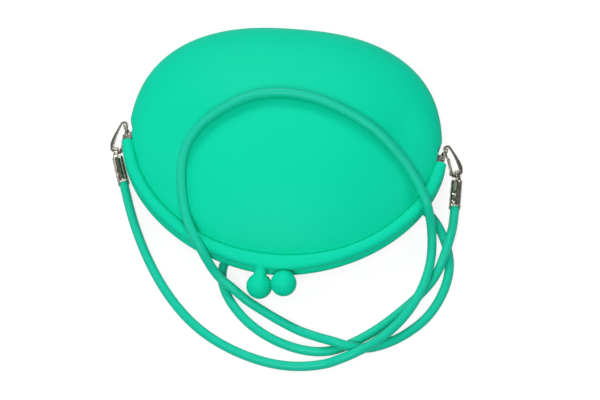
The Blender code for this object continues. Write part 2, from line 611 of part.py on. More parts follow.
def crimp_end(name, finish, origin, turn, eye_turn):
    """A folded barrel, open where the cord enters, with a strap looped into an eye at its top."""
    low = CRIMP_HEIGHT - EYE_HEIGHT
    half, corner = CRIMP_SIZE / 2, 1.8
    outline = []
    for cx, cz, first in ((1, 1, 0.0), (-1, 1, 90.0), (-1, -1, 180.0), (1, -1, 270.0)):
        centre = (cx * (half - corner), low + cz * (half - corner))
        outline += arc(centre, corner, first, first + 90.0, 3)
    verts, faces = prism(outline, 1, -CRIMP_MOUTH, -CRIMP_TOP)
    made = piece(name, verts, faces, finish, origin, turn)
    pin = np.array([math.cos(eye_turn), math.sin(eye_turn), 0.0])
    eye = rod(-pin * EYE_WIDTH / 2, pin * EYE_WIDTH / 2, EYE_RADIUS, 20)
    neck = [(-1.2, 0.6), (-CRIMP_TOP - 0.6, low + half - 0.4), (-CRIMP_TOP - 0.6, low - 1.2), (-1.2, -1.6)]
    strap = prism(neck, 0, -EYE_WIDTH / 2 + 0.05, EYE_WIDTH / 2 - 0.05)
    boolean(made, [eye, strap], "UNION")
    bore = rod((0, -CRIMP_MOUTH - 1, low), (0, -CRIMP_TOP - 1.0, low), CORD_DIAMETER / 2 + CRIMP_WALL / 2, 16)
    through = rod(-pin * EYE_WIDTH, pin * EYE_WIDTH, EYE_BORE, 16)
    seam = prism([(-0.25, -CRIMP_MOUTH - 1), (0.25, -CRIMP_MOUTH - 1), (0.25, -CRIMP_TOP - 2.0), (-0.25, -CRIMP_TOP - 2.0)], 2, low - half - 1.0, low)
    dents = [rod((-half - 1, y, low + half + 0.9), (half + 1, y, low + half + 0.9), 1.4, 12) for y in (-CRIMP_MOUTH + 4.0, -CRIMP_MOUTH + 9.0)]
    boolean(made, [bore, through, seam] + dents, "DIFFERENCE")
    return made


# Strap cord

def smooth_route(points, step):
    """Catmull-Rom points through the route, a list for each span, each at most a step apart."""
    p = np.array(points, float)
    p = np.vstack([2 * p[0] - p[1], p, 2 * p[-1] - p[-2]])
    spans = []
    for a, b, c, d in zip(p, p[1:], p[2:], p[3:]):
        count = max(1, math.ceil(float(np.linalg.norm(c - b)) / step))
        spans.append([
            0.5 * (2 * b + (c - a) * t + (2 * a - 5 * b + 4 * c - d) * t * t + (3 * b - a - 3 * c + d) * t**3)
            for t in np.arange(count) / count
        ])
    return spans


def strap_cord(finish):
    """One cord in six stretches that meet end to end, square to its line, with the usual gap."""
    route, starts = [], []
    for points in STRAP_ROUTE.values():
        starts.append(len(route))
        route.extend((x, y + HINGE_Y, z) for x, y, z in points)
    for label in ("left", "right"):
        barrel, along = clip_places(label)[-2:]
        inside = [tuple(barrel + along * d) for d in (CORD_START, (CORD_START + CRIMP_MOUTH) / 2, CRIMP_MOUTH)]
        route = inside + route if label == "left" else route + inside[::-1]
    starts = [0] + [index + 3 for index in starts[1:]] + [len(route) - 1]
    route = np.array(route)
    spans = smooth_route(route, CORD_STEP)
    for name, first, last in zip(STRAP_ROUTE, starts, starts[1:]):
        line = [point for span in spans[first:last] for point in span][1:]
        for index, sign in ((first, 1), (last, -1)):
            if index in (0, len(route) - 1):
                ends = [route[index]]
            else:
                ahead = route[index + 1] - route[index - 1]
                ahead *= sign / np.linalg.norm(ahead)
                ends = [route[index] + ahead * GAP / 2, route[index] + ahead * 1.5]
            line = ends + line if sign > 0 else line + ends[::-1]
        curve = bpy.data.curves.new(name, "CURVE")
        curve.dimensions = "3D"
        curve.bevel_depth = CORD_DIAMETER / 2 * MM
        curve.bevel_resolution = 2
        curve.use_fill_caps = True
        spline = curve.splines.new("POLY")
        spline.points.add(len(line) - 1)
        for point, place in zip(spline.points, line):
            point.co = (*(Vector(place) * MM), 1.0)
        curve.materials.append(finish)
        made = bpy.data.objects.new(name, curve)
        bpy.context.scene.collection.objects.link(made)


def main():
    for leftover in list(bpy.data.objects):
        bpy.data.objects.remove(leftover, do_unlink=True)
    silicone = material("green_silicone", (0.01, 0.62, 0.38), 0.0, 0.5)
    cord = material("green_cord", (0.01, 0.55, 0.33), 0.0, 0.4)
    steel = material("nickel_steel", (0.62, 0.60, 0.56), 1.0, 0.3)
    hinge = (0.0, HINGE_Y, HINGE_HEIGHT)

    pouch_skin(silicone, hinge)
    rim("front_rim", 1, silicone, hinge)
    rim("back_rim", -1, silicone, hinge)
    frame_half("front_frame_half", 1, steel, hinge, FRONT_EAR_X)
    frame_half("back_frame_half", -1, steel, hinge, BACK_EAR_X)
    knob_core("front_knob_core", 1, steel, hinge)
    knob_core("back_knob_core", -1, steel, hinge)
    for label in ("left", "right"):
        end, hook_heading, crimp_heading, tilt, bar, pivot, eye, _, _ = clip_places(label)
        hinge_rivet(f"{label}_hinge_rivet", end, steel, hinge)
        strap_lug(f"{label}_strap_lug", end, steel, hinge)
        turn = (tilt, 0.0, hook_heading)
        snap_hook(f"{label}_snap_hook", end, steel, bar, turn)
        hook_gate(f"{label}_hook_gate", end, steel, pivot, turn)
        lie = (0.0, 0.0, crimp_heading)
        crimp_end(f"{label}_crimp_end", steel, eye, lie, (hook_heading - crimp_heading) / 2)
    strap_cord(cord)


main()
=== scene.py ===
import math

import bpy
import numpy as np
from mathutils import Matrix, Vector


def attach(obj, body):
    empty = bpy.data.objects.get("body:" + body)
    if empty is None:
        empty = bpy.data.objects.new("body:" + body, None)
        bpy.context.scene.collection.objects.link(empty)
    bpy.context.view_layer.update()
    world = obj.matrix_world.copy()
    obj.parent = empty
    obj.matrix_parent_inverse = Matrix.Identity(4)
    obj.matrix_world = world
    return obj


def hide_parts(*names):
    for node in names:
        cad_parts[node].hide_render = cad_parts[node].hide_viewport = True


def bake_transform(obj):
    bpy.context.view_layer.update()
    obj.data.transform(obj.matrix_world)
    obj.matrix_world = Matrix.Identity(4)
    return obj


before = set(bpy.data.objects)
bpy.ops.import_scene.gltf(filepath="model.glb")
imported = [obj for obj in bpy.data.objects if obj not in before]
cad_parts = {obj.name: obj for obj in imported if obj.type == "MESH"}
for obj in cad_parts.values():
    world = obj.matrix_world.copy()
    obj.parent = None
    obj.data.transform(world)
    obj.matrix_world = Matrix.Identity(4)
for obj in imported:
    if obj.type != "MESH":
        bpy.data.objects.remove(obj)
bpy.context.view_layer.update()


# The purse's pouch: one soft silicone moulding about 2 mm thick, pressed in one piece with the two
# rims round the metal frame. It lies on its flattened back wall, and the front wall is a dome.
# The walls meet in a fine parting line behind.

MM = 0.001
hinge = np.array([0.0, 9.2, 15.5])           # middle of the frame's hinge axis, in millimetres
rim_reach = np.array([99.9, 83.2])           # hinge centre to the rim's middle line, along X and -Y
rim_power = 1.84                             # 2 is an ellipse, less is more pointed
rim_lift = 3.8                               # each rim's middle line from the parting plane
pouch_reach = np.array([100.0, 84.9])        # hinge centre to the pouch's sides and its bottom
pouch_power = 2.46
pouch_top = 46.0
pouch_underside = -1.5                       # the back wall's dome, which the table flattens at 0
pouch_edge_height = 18.0                     # the parting line behind the hinge
pouch_rays, pouch_rings = 280, 67
dome_power, back_power = 2.3, 2.0            # n of the domes' 1 - s^n
wall = 2.0
lip_share = 0.65                             # of the wall's thickness, at the mouth's lips
lip_rise = 1.6                               # the mouth's lips above and below the rims' middle lines
crease_depth, crease_width = 1.8, 2.6        # the groove where the dome meets the front rim
dents = ((-75.0, 11.0), (76.0, 20.0))        # the dome has sunk a little at its two shoulders
dent_depth, dent_radius = 2.8, 12.5
tongue_share = 0.68                          # the tongues lie in the middle of the back wall's thickness
rim_tongue = 2.0                             # how far the mouth's lips reach into the rims
fold = np.array([0.0, 30.0, 0.0])            # 30 mm behind the hinge and 30 mm in front, where the stretch over the pouch starts and ends


def ease(t):
    """0 before 0, 1 after 1, and 3t^2 - 2t^3 between."""
    t = np.clip(t, 0.0, 1.0)
    return t * t * (3.0 - 2.0 * t)


def grid_faces(rows, columns, closed_rows=False, closed_columns=False):
    """Four-sided faces between the neighbours of a rows by columns grid, as one whole array."""
    i = np.arange(rows if closed_rows else rows - 1)[:, None]
    j = np.arange(columns if closed_columns else columns - 1)[None, :]
    k, m = (i + 1) % rows, (j + 1) % columns
    return np.stack([i * columns + j, i * columns + m, k * columns + m, k * columns + j], -1).reshape(-1, 4)


def tube(points, loop=False):
    """A grid of closed sections as points and faces, its ends capped or joined into a loop."""
    count, sides = points.shape[:2]
    faces = grid_faces(count, sides, closed_rows=loop, closed_columns=True).tolist()
    if not loop:
        faces += [list(range(sides))[::-1], list(range((count - 1) * sides, count * sides))]
    return points.reshape(-1, 3), faces


def surface(name, points, faces, finish, flip=False, sharp=None):
    """A piece from points in millimetres and faces, smooth, with its faces pointing outwards."""
    mesh = bpy.data.meshes.new(name)
    mesh.from_pydata((np.asarray(points, float) * MM).tolist(), [], [tuple(f) for f in faces])
    mesh.validate()
    if flip:
        mesh.flip_normals()
    mesh.shade_smooth()
    if sharp:
        mesh.set_sharp_from_angle(angle=math.radians(sharp))
    mesh.materials.append(finish)
    made = bpy.data.objects.new(name, mesh)
    bpy.context.scene.collection.objects.link(made)
    return made


def mottle_group():
    """Shader group: cloudy mottling and fine grain from Object coordinates, as two values and a height."""
    group = bpy.data.node_groups.new("mottle_and_grain", "ShaderNodeTree")
    for name, value in (("Cloud Scale", 20.0), ("Grain Scale", 900.0), ("Grain Share", 0.5)):
        socket = group.interface.new_socket(name, in_out="INPUT", socket_type="NodeSocketFloat")
        socket.default_value = value
    for name in ("Cloud", "Grain", "Height"):
        group.interface.new_socket(name, in_out="OUTPUT", socket_type="NodeSocketFloat")
    nodes, links = group.nodes, group.links
    inside, out = nodes.new("NodeGroupInput"), nodes.new("NodeGroupOutput")
    place = nodes.new("ShaderNodeTexCoord")
    cloud = nodes.new("ShaderNodeTexNoise")
    cloud.inputs["Detail"].default_value = 3.0
    grain = nodes.new("ShaderNodeTexNoise")
    grain.inputs["Detail"].default_value = 4.0
    grain.inputs["Roughness"].default_value = 0.65
    mix = nodes.new("ShaderNodeMix")
    links.new(place.outputs["Object"], cloud.inputs["Vector"])
    links.new(place.outputs["Object"], grain.inputs["Vector"])
    links.new(inside.outputs["Cloud Scale"], cloud.inputs["Scale"])
    links.new(inside.outputs["Grain Scale"], grain.inputs["Scale"])
    links.new(inside.outputs["Grain Share"], mix.inputs[0])
    links.new(cloud.outputs["Fac"], mix.inputs[2])
    links.new(grain.outputs["Fac"], mix.inputs[3])
    links.new(cloud.outputs["Fac"], out.inputs["Cloud"])
    links.new(grain.outputs["Fac"], out.inputs["Grain"])
    links.new(mix.outputs[0], out.inputs["Height"])
    return group


mottle = mottle_group()


def finish_material(name, dark, light, roughness, metallic, clouds, grain, share, bump, **sockets):
    """A Principled finish: two colours mixed by the clouds, roughness by the grain, and a fine bump."""
    made = bpy.data.materials.new(name)
    made.use_nodes = True
    nodes, links = made.node_tree.nodes, made.node_tree.links
    shader = nodes["Principled BSDF"]
    effect = nodes.new("ShaderNodeGroup")
    effect.node_tree = mottle
    effect.inputs["Cloud Scale"].default_value = clouds
    effect.inputs["Grain Scale"].default_value = grain
    effect.inputs["Grain Share"].default_value = share
    tint = nodes.new("ShaderNodeMix")
    tint.data_type = "RGBA"
    tint.inputs[6].default_value = (*dark, 1.0)
    tint.inputs[7].default_value = (*light, 1.0)
    links.new(effect.outputs["Cloud"], tint.inputs[0])
    links.new(tint.outputs[2], shader.inputs["Base Color"])
    gloss = nodes.new("ShaderNodeMapRange")
    gloss.inputs["From Min"].default_value = 0.3
    gloss.inputs["From Max"].default_value = 0.7
    gloss.inputs["To Min"].default_value = roughness[0]
    gloss.inputs["To Max"].default_value = roughness[1]
    links.new(effect.outputs["Grain"], gloss.inputs["Value"])
    links.new(gloss.outputs["Result"], shader.inputs["Roughness"])
    raised = nodes.new("ShaderNodeBump")
    raised.inputs["Strength"].default_value = bump[0]
    raised.inputs["Distance"].default_value = bump[1]
    links.new(effect.outputs["Height"], raised.inputs["Height"])
    links.new(raised.outputs["Normal"], shader.inputs["Normal"])
    shader.inputs["Metallic"].default_value = metallic
    for socket, value in sockets.items():
        shader.inputs[socket.replace("_", " ")].default_value = value
    return made


silicone = finish_material(
    "green_silicone_skin", (0.002, 0.67, 0.405), (0.003, 0.73, 0.445), (0.46, 0.58), 0.0,
    clouds=14.0, grain=1100.0, share=0.8, bump=(0.12, 0.00012), Specular_IOR_Level=0.06,
)


def oval(angles, reach, power):
    """Distance from the middle of |x / w|^n + |y / d|^n = 1 to its edge, along each angle."""
    across = np.abs(np.cos(angles) / reach[0]) ** power
    return (across + np.abs(np.sin(angles) / reach[1]) ** power) ** (-1 / power)


def band_inset(x, forward):
    """How far inside a rim's middle line the wall leaves it: 2.4 mm at the hinge, 1.2 more in front
    of it, and up to 2.4 more at the clasp, which fade to the sides as exp(-(x / 34)^2)."""
    return 2.4 + 1.2 * ease((forward + 2.0) / 14.0) + 2.4 * ease(forward / 40.0) * np.exp(-((x / 34.0) ** 2))


def pouch_outline(angles):
    """Hinge centre to the pouch's edge and to its smooth base: mouth + (behind - mouth) * share. The
    share rises from 2 to 11 mm behind the hinge for the edge, and from 34 mm in front for the base."""
    on_rim = oval(angles, rim_reach, rim_power)
    inset = band_inset(on_rim * np.cos(angles), -on_rim * np.sin(angles))
    mouth = oval(angles, rim_reach[:, None] - inset[None], rim_power)
    behind = oval(angles, pouch_reach, pouch_power)
    back = mouth * np.sin(angles)
    notch, swell = ease((back - 2.0) / 9.0), ease((back + 34.0) / 68.0)
    return mouth + (behind - mouth) * notch, mouth + (behind - mouth) * swell, notch, swell


def pouch_wall(angles, fractions, front, lining):
    """Rays from the hinge centre to the edge, domed as (1 - s^n)^q, the lips set in by s^8."""
    edge, base, notch, swell = pouch_outline(angles)
    on_ray = edge
    forward = ease((-edge * np.sin(angles) - 4.0) / 14.0)[:, None]
    s = fractions[None, :]
    near_edge = s**8
    behind = ease((np.degrees(np.arcsin(np.sin(angles))) + 25.0) / 50.0)[:, None]
    side = 1.0 if front else -1.0
    lip_height = hinge[2] + side * (rim_lift + lip_rise)
    heights = []
    for share in (notch, swell):
        height = lip_height + (pouch_edge_height - lip_height) * share
        if lining:
            height = height - side * 0.8 * np.minimum(wall, np.abs(height - pouch_edge_height))
        heights.append(height[:, None])
    middle = pouch_top if front else pouch_underside
    if lining:
        middle -= side * wall
        edge = edge - wall * (lip_share + (1.0 - lip_share) * notch)
        base = base - wall * (lip_share + (1.0 - lip_share) * swell)
    edge_height = heights[1] + (heights[0] - heights[1]) * near_edge
    power = dome_power if front else back_power + 0.2 * behind
    bulge = (1.0 - s**power) ** (0.95 * (1.0 - behind) + 0.5 * behind)
    height = edge_height + (middle - edge_height) * bulge
    radius = base[:, None] * s + (edge - base)[:, None] * near_edge
    x = radius * np.cos(angles)[:, None]
    y = radius * np.sin(angles)[:, None] + hinge[1]
    if front:
        inward = (1.0 - s) * on_ray[:, None]
        height = height - crease_depth * np.exp(-inward / crease_width) * forward
        for dent_x, dent_y in dents:
            sunk = np.exp(-((x - dent_x) ** 2 + (y - dent_y) ** 2) / dent_radius**2)
            height = height - dent_depth * sunk * (1.0 - near_edge)
    else:
        height = np.maximum(height, wall if lining else 0.0)
    return np.stack([x, y, height], -1)


def together(*parts):
    """Closed bodies gathered into one list of points and faces."""
    points, faces, count = [], [], 0
    for some_points, some_faces in parts:
        points.append(some_points)
        faces += [[index + count for index in face] for face in some_faces]
        count += len(some_points)
    return np.vstack(points), faces


def edge_tongue(side):
    """A thin tongue under the front wall's edge behind the hinge, between the back wall's two faces:
    outer + share (lining - outer) and the mirrored share, on rays 4 to 34 degrees behind the hinge."""
    angles = np.radians(np.linspace(4.0, 34.0, 61))
    if side < 0:
        angles = math.pi - angles[::-1]
    fractions = np.linspace(0.999, 0.93, 9)
    outer, lining = (pouch_wall(angles, fractions, False, inside) for inside in (False, True))
    inward = (1.0 - tongue_share) * outer + tongue_share * lining
    outward = tongue_share * outer + (1.0 - tongue_share) * lining
    return tube(np.concatenate([inward, outward[:, ::-1]], 1))


def pouch_half(name, front):
    """Outer wall and lining of one half, joined along the edge by a band that reaches into the rim."""
    even = np.arange(pouch_rays) * (2.0 * math.pi / pouch_rays)
    angles = even - 0.3 * np.sin(2.0 * even) * np.cos(even) ** 6    # closer together beside the hinge
    fractions = np.sin(np.linspace(0.0, 0.5 * math.pi, pouch_rings + 1))[1:]
    rows, columns = len(angles), len(fractions)
    grids = [pouch_wall(angles, fractions, front, lining).reshape(-1, 3) for lining in (False, True)]
    poles = [pouch_wall(angles[:1], np.zeros(1), front, lining)[0] for lining in (False, True)]
    size = rows * columns
    body = grid_faces(rows, columns, closed_rows=True)
    i = np.arange(rows)
    k = (i + 1) % rows
    last = columns - 1
    middle = 2 * size + 2
    band = np.concatenate([
        np.stack([i * columns + last, k * columns + last, middle + k, middle + i], -1),
        np.stack([middle + i, middle + k, size + k * columns + last, size + i * columns + last], -1),
    ])
    tip = 0.5 * (grids[0] + grids[1])[last::columns]
    reach = rim_tongue * ease((-(tip[:, 1] - hinge[1]) - 3.0) / 6.0)
    tip[:, :2] += reach[:, None] * np.stack([np.cos(angles), np.sin(angles)], -1)
    outer_cap = np.stack([np.full(rows, 2 * size), k * columns, i * columns], -1)
    inner_cap = np.stack([np.full(rows, 2 * size + 1), size + i * columns, size + k * columns], -1)
    faces = [*body[:, ::-1].tolist(), *(body + size).tolist(), *band.tolist()]
    faces += [*outer_cap.tolist(), *inner_cap.tolist()]
    points = np.vstack([*grids, *poles, tip])
    if front:
        points, faces = together((points, faces), edge_tongue(-1), edge_tongue(1))
    return surface(name, points, faces, silicone, flip=front)


front_wall = pouch_half("pouch_front_wall", True)
back_wall = pouch_half("pouch_back_wall", False)
for half in (front_wall, back_wall):
    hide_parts("pouch_skin")
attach(back_wall, "back_half")
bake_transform(front_wall)


# The two rims: a band of the same silicone moulded round each half of the frame, wider towards the
# clasp and cut off square at the hinge. In the middle of each a short stem flares out of the band
# and ends in a ball. The front knob leans back past the rear one, so that they snap together.

rim_radius = 3.6                             # the band outside and above its middle line
band_power = 2.3                             # its section: a little squarer than round
band_tuck = 0.45                             # how far it reaches under the wall
cut_forward = 5.5                            # its cut ends, in front of the hinge axis
cut_corner = 0.7                             # rounding of the cut ends
knob_radius = 8.0
knob_side = 7.5                              # the two knobs stand this far left and right of the middle
knob_reach = 95.3                            # hinge centre to the ball's centre, forwards
knob_cross = 3.5                             # how far each ball leans past the parting plane
stem_radius, root_radius, root_depth = 3.7, 4.1, 3.0


def carried(path, section, normal=(0.0, 0.0, 1.0), loop=False, along=None):
    """A section of (u, v) carried along a path: path + u (normal x along) + v (along x across)."""
    path = np.asarray(path, float)
    if along is None:
        along = np.roll(path, -1, 0) - np.roll(path, 1, 0) if loop else np.gradient(path, axis=0)
    along = along / np.linalg.norm(along, axis=1, keepdims=True)
    across = np.cross(np.asarray(normal, float), along)
    across /= np.linalg.norm(across, axis=1, keepdims=True)
    up = np.cross(along, across)
    section = np.broadcast_to(section, (len(path), *np.shape(section)[-2:]))
    return tube(path[:, None] + section[..., :1] * across[:, None] + section[..., 1:] * up[:, None], loop)


def rounded(half_u, half_v, power, sides=32, centre_u=0.0):
    """Sections |u / a|^n + |v / b|^n = 1: round for n = 2, and boxes with soft corners above."""
    a = np.arange(sides) * (2.0 * math.pi / sides)
    c, s = np.cos(a), np.sin(a)
    u = np.multiply.outer(half_u, np.sign(c) * np.abs(c) ** (2.0 / power))
    v = np.multiply.outer(half_v, np.sign(s) * np.abs(s) ** (2.0 / power))
    return np.stack([u + np.asarray(centre_u, float)[..., None], v + 0.0 * u], -1)


def lathe(start, axis, distance, radius, sides=48):
    """A turned profile: rings of the given radii at distances along an axis, closed at both ends."""
    axis = np.asarray(axis, float) / np.linalg.norm(axis)
    path = np.asarray(start, float) + np.asarray(distance, float)[:, None] * axis
    normal = (1.0, 0.0, 0.0) if abs(axis[0]) < 0.8 else (0.0, 0.0, 1.0)
    return carried(path, rounded(radius, radius, 2.0, sides), normal, along=np.tile(axis, (len(path), 1)))


def rim_path(lift):
    """The frame's half oval from left to right, x = -w cos(a)^(2 / n) and y = -d sin(a)^(2 / n), in
    even steps along its length that are closer together at the cut ends."""
    first = math.asin((cut_forward / rim_reach[1]) ** (rim_power / 2.0))
    a = np.linspace(first, math.pi - first, 3000)
    x = -rim_reach[0] * np.sign(np.cos(a)) * np.abs(np.cos(a)) ** (2.0 / rim_power)
    y = -rim_reach[1] * np.sin(a) ** (2.0 / rim_power)
    run = np.concatenate([[0.0], np.cumsum(np.hypot(np.diff(x), np.diff(y)))])
    ends = np.array([0.0, 0.07, 0.2, 0.4, 0.7, 1.1])
    at = np.concatenate([ends, np.linspace(1.8, run[-1] - 1.8, 190), run[-1] - ends[::-1]])
    path = hinge + np.stack([np.interp(at, run, x), np.interp(at, run, y), np.full(len(at), lift)], -1)
    return path, np.minimum(at, run[-1] - at)


def rim_band(lift):
    """A soft-edged band: rim_radius outwards, to just under the wall inwards, its cut ends rounded."""
    path, to_end = rim_path(lift)
    corner = cut_corner - np.sqrt(cut_corner**2 - (cut_corner - np.minimum(to_end, cut_corner)) ** 2)
    inner = band_inset(path[:, 0], hinge[1] - path[:, 1]) + band_tuck
    half_width = (inner + rim_radius) / 2.0 - corner
    section = rounded(half_width, rim_radius - corner, band_power, 40, centre_u=(inner - rim_radius) / 2.0)
    return carried(path, section)


def clasp_knob(side):
    """Stem and ball as a turned profile: a flare that narrows to the stem, then swells to the ball."""
    start = hinge + np.array([-side * knob_side, -(rim_reach[1] + 0.1), side * (rim_lift - 0.6)])
    ball = hinge + np.array([-side * knob_side, -knob_reach, -side * knob_cross])
    length = np.linalg.norm(ball - start)
    t = np.linspace(0.0, 1.0, 22)
    neck = length - 1.14 * knob_radius
    flare = root_radius - stem_radius
    stem = stem_radius + flare * (1.0 - ease(t / 0.75)) + 0.3 * ease((t - 0.7) / 0.3)
    root = np.linspace(0.0, 0.5 * math.pi, 12)[:-1]
    a = np.linspace(math.pi - 0.53, 0.0, 36)
    distance = np.concatenate([-root_depth * np.cos(root), t * neck, length + knob_radius * np.cos(a)])
    radius = np.concatenate([root_radius * np.sin(root), stem, knob_radius * np.sin(a)])
    radius[[0, -1]] = 0.02
    return lathe(start, ball - start, distance, radius, 56)


for side, label in ((1, "front"), (-1, "back")):
    band = surface(f"{label}_rim_band", *rim_band(side * rim_lift), silicone, sharp=75)
    knob = surface(f"{label}_clasp_knob", *clasp_knob(side), silicone)
    for part in (band, knob):
        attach(part, f"{label}_half")
        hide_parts(f"{label}_rim")


# The frame inside the rims: two stamped strips of plated steel that show only at the hinge, where
# each ends in a pierced ear. A headed rivet on each side holds both ears and the strap's lug.

steel = finish_material(
    "plated_frame_steel", (0.20, 0.18, 0.145), (0.38, 0.36, 0.31), (0.26, 0.42), 1.0,
    clouds=260.0, grain=2600.0, share=0.7, bump=(0.15, 0.00006),
)
nickel = finish_material(
    "worn_nickel", (0.20, 0.185, 0.145), (0.46, 0.44, 0.38), (0.16, 0.32), 1.0,
    clouds=330.0, grain=3200.0, share=0.6, bump=(0.12, 0.00005),
)
for node in ("front_frame_half", "back_frame_half", "front_knob_core", "back_knob_core"):
    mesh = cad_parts[node].data
    mesh.materials.clear()
    mesh.materials.append(steel)
stack_inner, stack_outer = 97.4, 101.5       # the rivet's heads bear on the stack at these distances
rivet_head, rivet_shank, rivet_dome = 2.3, 1.3, 0.8
lug_middle = 100.75                          # middle of the lug's plate
lug_bend_y = 3.2                             # the window bends outwards here, behind the rivet
lug_bend = math.radians(40.0)
lug_thick, window_side = 0.9, 1.1            # the sheet, and the width of the window's sides


def fitted(piece, node, body):
    """A finer nickel piece that stands for one CAD node and moves with its body."""
    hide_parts(node)
    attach(piece, body)


def arc(centre, radius, start, stop, steps):
    """Points on an arc between two angles in degrees."""
    a = np.radians(np.linspace(start, stop, steps + 1))
    return np.stack([centre[0] + radius * np.cos(a), centre[1] + radius * np.sin(a)], -1)


def lug(end):
    """A tab round the rivet, bent outwards into an upright window: plate and loop of one strip."""
    y = np.array([-2.9, -2.8, -2.5, -1.9, -1.0, 0.0, 1.0, 2.0, 2.8, 3.4])
    height = np.array([0.4, 1.0, 1.7, 2.35, 2.85, 3.05, 3.2, 3.3, 3.35, 3.3])
    path = hinge + np.stack([np.full(10, end * lug_middle), y, np.zeros(10)], -1)
    plate = carried(path, rounded(np.full(10, lug_thick / 2.0), height, 5.0, 28))
    corner, near, far, high = 0.9, 0.2, 4.45, 2.85
    loop = np.vstack([
        arc((far - corner, high - corner), corner, 0.0, 90.0, 6),
        arc((near, high - corner), corner, 90.0, 180.0, 6),
        arc((near, corner - high), corner, 180.0, 270.0, 6),
        arc((far - corner, corner - high), corner, 270.0, 360.0, 6),
    ])
    path = hinge + np.stack([
        end * (lug_middle + loop[:, 0] * math.sin(lug_bend)),
        lug_bend_y + loop[:, 0] * math.cos(lug_bend), loop[:, 1],
    ], -1)
    through = (math.cos(lug_bend), -end * math.sin(lug_bend), 0.0)
    section = rounded(window_side / 2.0, lug_thick / 2.0, 4.0, 20)
    return together(plate, carried(path, section, through, loop=True))


for end, label in ((-1, "left"), (1, "right")):
    bulge = np.linspace(0.0, 0.5 * math.pi, 10)
    inner_head = [(rivet_head - 0.05) * np.sin(bulge), stack_inner - rivet_dome * np.cos(bulge)]
    outer_head = [(rivet_head - 0.05) * np.cos(bulge), stack_outer + rivet_dome * np.sin(bulge)]
    shank = [rivet_head, rivet_shank, rivet_shank, rivet_head]
    bearing = [stack_inner, stack_inner, stack_outer, stack_outer]
    radius = np.concatenate([inner_head[0], shank, outer_head[0]])
    reach = np.concatenate([inner_head[1], bearing, outer_head[1]])
    radius[[0, -1]] = 0.02
    rivet = surface(f"{label}_domed_rivet", *lathe(hinge, (end, 0.0, 0.0), reach, radius), nickel, sharp=50)
    fitted(rivet, f"{label}_hinge_rivet", "back_half")
    tab = surface(f"{label}_bent_lug", *lug(end), nickel, sharp=50)
    fitted(tab, f"{label}_strap_lug", "back_half")


# The snap hooks: flat pear-shaped stampings of nickel-plated steel. The arch at the top rides on
# the lug's bar, the spine widens downwards, and the bottom bar carries the strap's crimp. A gate
# of bent spring wire is pinned in a boss beside the bottom bar and closes on the hook's nose.

hook_thick = 1.5
hook_length = 17.4                           # lug bar to eye
bar_place = np.array([103.61, 15.809, 15.8])           # the lug's bar on the right
eye_height = 5.4
clip_places = {                # eye in millimetres, then headings of hook and crimp in degrees
    "left": ((-107.921, 2.542, eye_height), -18.0, 19.3),
    "right": ((111.208, 4.11, eye_height), 33.0, -1.7),
}
hook_tilt = math.asin((bar_place[2] - eye_height) / hook_length)      # it hangs from bar to eye
gate_pivot = np.array([-3.4, -15.2, 0.0])
gate_tip = np.array([-1.75, -5.4, 0.0])
wire_radius = 0.5


def flowing(points, step):
    """Catmull-Rom rows through the points, in any number of dimensions, at most a step apart."""
    p = np.asarray(points, float)
    p = np.vstack([2 * p[0] - p[1], p, 2 * p[-1] - p[-2]])
    a, b, c, d = p[:-3], p[1:-2], p[2:-1], p[3:]
    counts = np.maximum(1, np.ceil(np.linalg.norm(c - b, axis=1) / step).astype(int))
    span = np.repeat(np.arange(len(counts)), counts)
    first = np.concatenate([[0], np.cumsum(counts)])
    t = ((np.arange(first[-1]) - first[span]) / counts[span])[:, None]
    a, b, c, d = a[span], b[span], c[span], d[span]
    line = 0.5 * (2 * b + (c - a) * t + (2 * a - 5 * b + 4 * c - d) * t**2 + (3 * b - a - 3 * c + d) * t**3)
    return np.vstack([line, p[-2:-1]]), first


def hook_body():
    """The hook's middle line from nose to boss, with a rounded flat section that varies in width."""
    low = -hook_length
    line = np.vstack([
        [(-2.45, -4.7), (-2.42, -4.1), (-2.2, -2.0)], arc((0.0, 0.5), 2.0, 175.0, 5.0, 8),
        [(2.75, -3.0), (3.5, -8.0), (3.75, low + 5.0), (3.55, low + 2.6)],
        arc((1.9, low + 1.5), 1.5, 0.0, -90.0, 4), arc((-1.9, low + 1.5), 1.5, -90.0, -170.0, 4),
        [gate_pivot[:2] + (-0.1, 0.3)],
    ])
    half = np.array([0.35, 0.58, 0.62] + [0.65] * 9 + [0.75, 1.05, 1.3, 1.25] + [0.9] * 11)
    rows, _ = flowing(np.column_stack([line, half]), 0.45)
    path = np.column_stack([rows[:, :2], np.zeros(len(rows))])
    plate = carried(path, rounded(rows[:, 2], hook_thick / 2.0, 6.0, 28))
    boss_height = [0.0, 0.0, 0.1, 0.25, 1.19, 1.34, 1.44, 1.44]
    boss_radius = [0.02, 1.35, 1.5, 1.58, 1.58, 1.5, 1.35, 0.02]
    boss = lathe(gate_pivot - (0.0, 0.0, 0.72), (0.0, 0.0, 1.0), boss_height, boss_radius, 40)
    return together(plate, boss)


def gate_wire():
    """A closed loop of spring wire: through the boss, along both faces and round the nose."""
    rise, bend = hook_thick / 2.0 + 0.8, 0.9
    length = np.linalg.norm(gate_tip - gate_pivot)
    forward = (gate_tip - gate_pivot) / length
    flat = np.vstack([
        arc((length - bend, rise - bend), bend, 90.0, 0.0, 6),
        arc((length - bend, bend - rise), bend, 0.0, -90.0, 6),
        arc((bend, bend - rise), bend, -90.0, -180.0, 6),
        arc((bend, rise - bend), bend, 180.0, 90.0, 6),
    ])
    path = gate_pivot + flat[:, :1] * forward + flat[:, 1:] * np.array([0.0, 0.0, 1.0])
    wire = rounded(wire_radius, wire_radius, 2.0, 16)
    return carried(path, wire, (-forward[1], forward[0], 0.0), loop=True)


def placed(points, mirror, turn, place):
    """Points mirrored across X, turned by a matrix and moved to a place."""
    return (points * (mirror, 1.0, 1.0)) @ np.array(turn).T + np.asarray(place, float)


